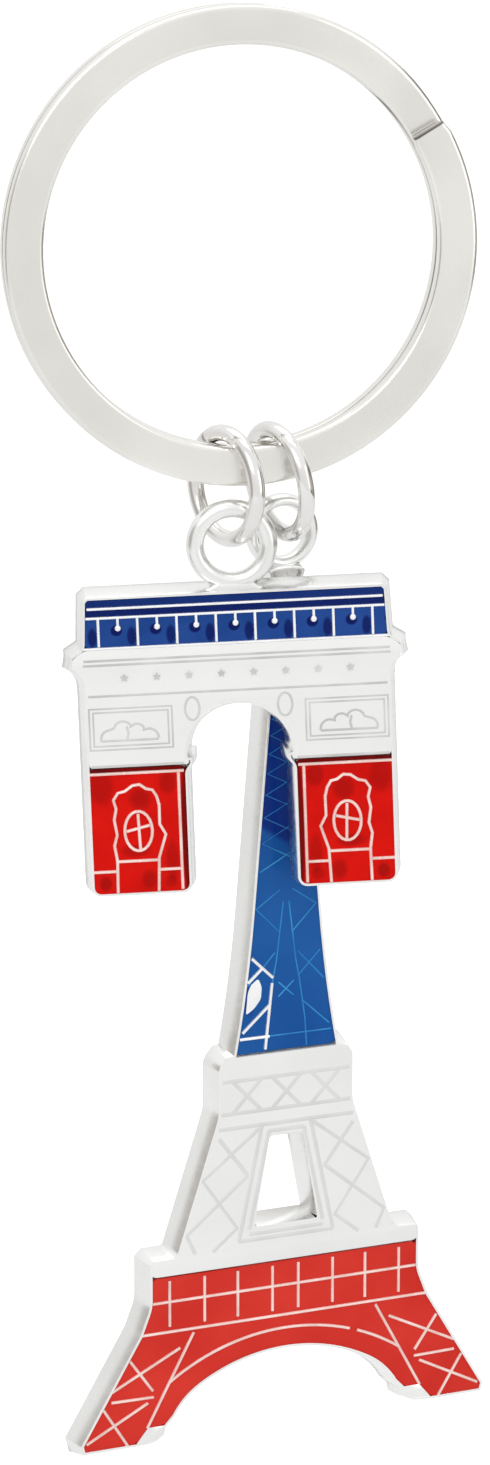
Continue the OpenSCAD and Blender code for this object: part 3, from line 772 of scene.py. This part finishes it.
def buildTower():
    b = towerLook
    t, sink, cell = castings["thick"], castings["sink"], castings["cell"]
    plate = castPlate("towerPlate",
                      [softened(towerOutline(b), b["corner"]), softened(towerWindow(-0.02), 0.25)],
                      b["edge"])
    inner = b["gapHalf"]
    pad = [(inner + 0.02, b["stub"] + 0.14), (inner + 1.25, b["stub"] + 0.14), (inner + 2.15, 0.1),
           (inner + 0.8, 0.12), (inner + 0.16, 0.58)]
    pads = [bevelled(flatShape("towerPad", [side], cell + 0.04, w=t - cell / 2 - 0.03), 0.05, 2, 30)
            for side in (pad, mirrored(pad))]
    body = joined("towerCasting", [plate, castLoop("towerEye", towerLoop)] + pads)
    blue, white, red = [softened(field, b["corner"]) for field in towerFields(b)]
    low, high = t - cell - 0.02, t - sink
    mid, deep = (low + high) / 2, high - low
    pieces = {"towerCasting": (body, "castNickel", "charm_nickel")}
    pieces["towerBlueEnamel"] = (flatShape("towerBlueEnamel", [blue], deep, w=mid), "towerBlue",
                                 "blue_enamel")
    whiteRise = 0.106
    whiteSheet = flatShape("towerWhiteEnamel", [white, towerWindow(0.04)], deep + whiteRise,
                           w=mid + whiteRise / 2)
    whiteSheet = bevelled(whiteSheet, 0.1, 3, 40)
    pieces["towerWhiteEnamel"] = (whiteSheet, "towerWhite", "white_enamel")
    pieces["towerRedEnamel"] = (flatShape("towerRedEnamel", [red], deep, w=mid), "towerRed", "red_enamel")
    blueLines, redLines, grey = towerLines(b)
    r = b["lineR"]
    pieces["towerBlueLines"] = (wireShape("towerBlueLines", blueLines, 0.065, t - sink - 0.03),
                                "cyanLine", "charm_nickel")
    # painted highlight: a raised bright metal patch and brightened silver lines on the lower left of the
    # spire stand for light glinting on the blue enamel
    highlightOutline = [(-2.72, 30.1), (-2.5, 30.6), (-1.97, 31.0), (-1.72, 30.4), (-1.78, 29.6), (-2.25, 29.0),
             (-2.85, 28.6)]
    highlightPatch = bevelled(flatShape("towerHighlightPatch", [softened(highlightOutline, 0.2)], 0.3, w=t - 0.22), 0.1, 3, 40)
    highlightLines = [[(-2.45, 32.4), (-0.95, 30.95)], [(-1.75, 31.6), (-2.72, 30.75)],
            [(-1.0, 30.6), (-1.48, 26.15)],
            [(-1.2, 29.1), (-3.1, 27.4)], [(-3.3, 27.0), (-1.2, 27.0)]]
    highlightStrips = wireShape("towerHighlightLines", highlightLines, 0.12, t - 0.11)
    pieces["towerSpireHighlight"] = (joined("towerSpireHighlight", [highlightPatch, highlightStrips]), "lineNickel", "charm_nickel")
    pieces["towerRedLines"] = (wireShape("towerRedLines", redLines, r, t - r), "pinkLine", "charm_nickel")
    pieces["towerWhiteLines"] = (wireShape("towerWhiteLines", grey, b["greyR"], t - 0.02, 0.3),
                                 "softLine", "white_enamel")
    for name, (obj, look, slot) in pieces.items():
        hang(obj, towerHang)
        smoothed(obj)
        obj.data.materials.clear()
        obj.data.materials.append(finishes[look])
        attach(obj, "tower_charm")
    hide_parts("tower_casting")
    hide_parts("tower_blue_enamel")
    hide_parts("tower_white_enamel")
    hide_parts("tower_red_enamel")
    print("tower built")


buildArch()
buildTower()

# split ring: one flat wire wound twice, crossing from the front turn to the back one

ringLook = {"outside": 15.0, "band": 2.45, "turn": 1.15, "edge": 0.35, "splitAt": 31.0, "crossArc": 48.0,
            "step": 3.0, "slack": 0.02}


def buildRing():
    r = ringLook
    halfBand, halfTurn = r["band"] / 2, (r["turn"] - r["slack"]) / 2
    section = softened([(halfBand, halfTurn), (-halfBand, halfTurn), (-halfBand, -halfTurn),
                        (halfBand, -halfTurn)],
                       r["edge"], 5)
    profile = bpy.data.curves.new("wireSection", "CURVE")
    profile.dimensions = "2D"
    edge = profile.splines.new("POLY")
    edge.points.add(len(section) - 1)
    for point, (u, v) in zip(edge.points, section):
        point.co = (u, v, 0, 1)
    edge.use_cyclic_u = True
    shape = bpy.data.objects.new("wireSection", profile)
    bpy.context.scene.collection.objects.link(shape)

    wire = bpy.data.curves.new("splitRing", "CURVE")
    wire.dimensions = "3D"
    wire.twist_mode = "Z_UP"
    wire.bevel_mode = "OBJECT"
    wire.bevel_object = shape
    wire.use_fill_caps = True
    whole = 720 - r["crossArc"] - 2
    steps = int(whole / r["step"])
    coil = wire.splines.new("POLY")
    coil.points.add(steps)
    middle = r["outside"] - halfBand
    for i, point in enumerate(coil.points):
        gone = whole * i / steps
        share = min(1.0, max(0.0, (gone - 360 + r["crossArc"]) / r["crossArc"]))
        layer = r["turn"] / 2 - r["turn"] * share * share * (3 - 2 * share)
        at = math.radians(r["splitAt"] - gone)
        point.co = (middle * math.cos(at), middle * math.sin(at), layer, 1)
    endSize = 0.86
    for point in (coil.points[0], coil.points[-1]):
        point.radius = endSize
    ring = bpy.data.objects.new("splitRing", wire)
    bpy.context.scene.collection.objects.link(ring)
    makeMesh(ring)
    bpy.data.objects.remove(shape)
    pick(ring)
    ring.rotation_euler.x = math.radians(90)
    ring.scale = (mm, mm, mm)
    bpy.ops.object.transform_apply(location=True, rotation=True, scale=True)
    smoothed(ring, 50)
    ring.data.materials.append(finishes["ringNickel"])
    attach(ring, "key_ring")
    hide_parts("split_ring")
    print("split ring built")


buildRing()

for node, look in (("arch_jump_ring", "jumpNickel"), ("tower_jump_ring", "jumpNickel")):
    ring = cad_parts[node]
    ring.data.materials.clear()
    ring.data.materials.append(finishes[look])
print("jump rings finished")


# floor, light and camera

studio = {
    "floorZ": -0.125, "floorSize": 0.9, "floor": 0.78, "floorGlow": 0.6, "tent": 1.06, "backdrop": 1.1,
    "sides": [(-1.0, (0.52, 0.49, 0.47)), (-0.93, (0.60, 0.58, 0.56)), (-0.89, (0.95, 0.95, 0.95)),
              (0.78, (1, 1, 1)), (0.84, (0.25, 0.22, 0.19)), (0.96, (0.25, 0.22, 0.19)),
              (1.0, (0.6, 0.58, 0.55))],
    "gapHeight": [(-0.5, (0, 0, 0)), (-0.25, (1, 1, 1)), (0.3, (1, 1, 1)), (0.55, (0, 0, 0))],
    "height": [(-1.0, (0.85, 0.85, 0.85)), (0.0, (0.86, 0.86, 0.85)), (0.5, (0.95, 0.95, 0.95)),
               (1.0, (1, 1, 1))],
    "lamps": [("keyLight", (-0.35, -0.45, 0.35), 0.9, 0.3), ("fillLight", (0.45, -0.35, 0.1), 0.3, 0.4),
              ("topLight", (0.0, 0.1, 0.5), 0.5, 0.5)],
}


def buildStudio():
    clearSelection()
    bpy.ops.mesh.primitive_plane_add(size=studio["floorSize"], location=(0, 0, studio["floorZ"]))
    floor = bpy.context.active_object
    floor.name = "floor"
    paper = bpy.data.materials.new("paper")
    paper.use_nodes = True
    shader = paper.node_tree.nodes["Principled BSDF"]
    shader.inputs["Base Color"].default_value = (studio["floor"],) * 3 + (1,)
    shader.inputs["Roughness"].default_value = 0.9
    shader.inputs["Specular IOR Level"].default_value = 0.0
    shader.inputs["Emission Color"].default_value = (1, 1, 1, 1)
    # the paper is grey to the metal that mirrors it and white to the eye
    path = paper.node_tree.nodes.new("ShaderNodeLightPath")
    glow = paper.node_tree.nodes.new("ShaderNodeMath")
    glow.operation = "MULTIPLY"
    glow.inputs[1].default_value = studio["floorGlow"]
    paper.node_tree.links.new(path.outputs["Is Camera Ray"], glow.inputs[0])
    paper.node_tree.links.new(glow.outputs[0], shader.inputs["Emission Strength"])
    floor.data.materials.append(paper)

    makeTent()
    for name, place, power, size in studio["lamps"]:
        lamp = bpy.data.lights.new(name, "AREA")
        lamp.energy = power
        lamp.size = size
        obj = bpy.data.objects.new(name, lamp)
        bpy.context.scene.collection.objects.link(obj)
        obj.location = place
        aim = Vector((0, 0, -0.035)) - Vector(place)
        obj.rotation_euler = aim.to_track_quat("-Z", "Y").to_euler()


def makeTent():
    # a white tent with a grey gap low at each side, which gives the metal something to mirror
    world = bpy.data.worlds.new("tent")
    bpy.context.scene.world = world
    world.use_nodes = True
    nodes, links = world.node_tree.nodes, world.node_tree.links
    back = nodes["Background"]
    back.inputs["Strength"].default_value = studio["tent"]
    coords = nodes.new("ShaderNodeTexCoord")
    split = nodes.new("ShaderNodeSeparateXYZ")
    links.new(coords.outputs["Generated"], split.inputs["Vector"])

    def ramp(value, stops):
        shift = nodes.new("ShaderNodeMapRange")
        shift.inputs["From Min"].default_value = -1
        shift.inputs["From Max"].default_value = 1
        links.new(value, shift.inputs["Value"])
        node = nodes.new("ShaderNodeValToRGB")
        while len(node.color_ramp.elements) < len(stops):
            node.color_ramp.elements.new(0.5)
        for element, (place, colour) in zip(node.color_ramp.elements, stops):
            element.position = (place + 1) / 2
            element.color = (*colour, 1)
        links.new(shift.outputs["Result"], node.inputs["Fac"])
        return node.outputs["Color"]

    def mix(kind, factor, first, second):
        node = nodes.new("ShaderNodeMix")
        node.data_type = "RGBA"
        node.blend_type = kind
        for socket, value in ((node.inputs["Factor"], factor), (node.inputs["A"], first),
                              (node.inputs["B"], second)):
            if isinstance(value, bpy.types.NodeSocket):
                links.new(value, socket)
            elif socket.type == "VALUE":
                socket.default_value = value
            else:
                socket.default_value = (value, value, value, 1)
        return node.outputs["Result"]

    sides = ramp(split.outputs["X"], studio["sides"])
    low = ramp(split.outputs["Z"], studio["gapHeight"])
    walls = mix("MIX", low, 1.0, sides)
    height = ramp(split.outputs["Z"], studio["height"])
    tent = mix("MULTIPLY", 1.0, walls, height)
    path = nodes.new("ShaderNodeLightPath")
    seen = mix("MIX", path.outputs["Is Camera Ray"], tent, studio["backdrop"])
    links.new(seen, back.inputs["Color"])


shotLook = {
    "halfView": 0.1611307, "far": 282.7, "turn": 11.38, "up": 36.1, "down": 13.38, "aim": 11.44,
}


def buildCamera():
    bpy.context.scene.view_settings.view_transform = "Standard"
    data = bpy.data.cameras.new("camera")
    camera = bpy.data.objects.new("camera", data)
    bpy.context.scene.collection.objects.link(camera)
    bpy.context.scene.camera = camera
    data.sensor_fit = "VERTICAL"
    data.angle = 2 * math.atan(shotLook["halfView"])
    data.clip_start = 0.01
    data.clip_end = 10
    far, turn = shotLook["far"], math.radians(shotLook["turn"])
    camera.location = Vector((-far * math.sin(turn), -far * math.cos(turn), shotLook["up"])) * mm
    camera.rotation_euler = (math.radians(90 - shotLook["down"]), 0, math.radians(-shotLook["aim"]))


buildStudio()
buildCamera()
print("studio ready")
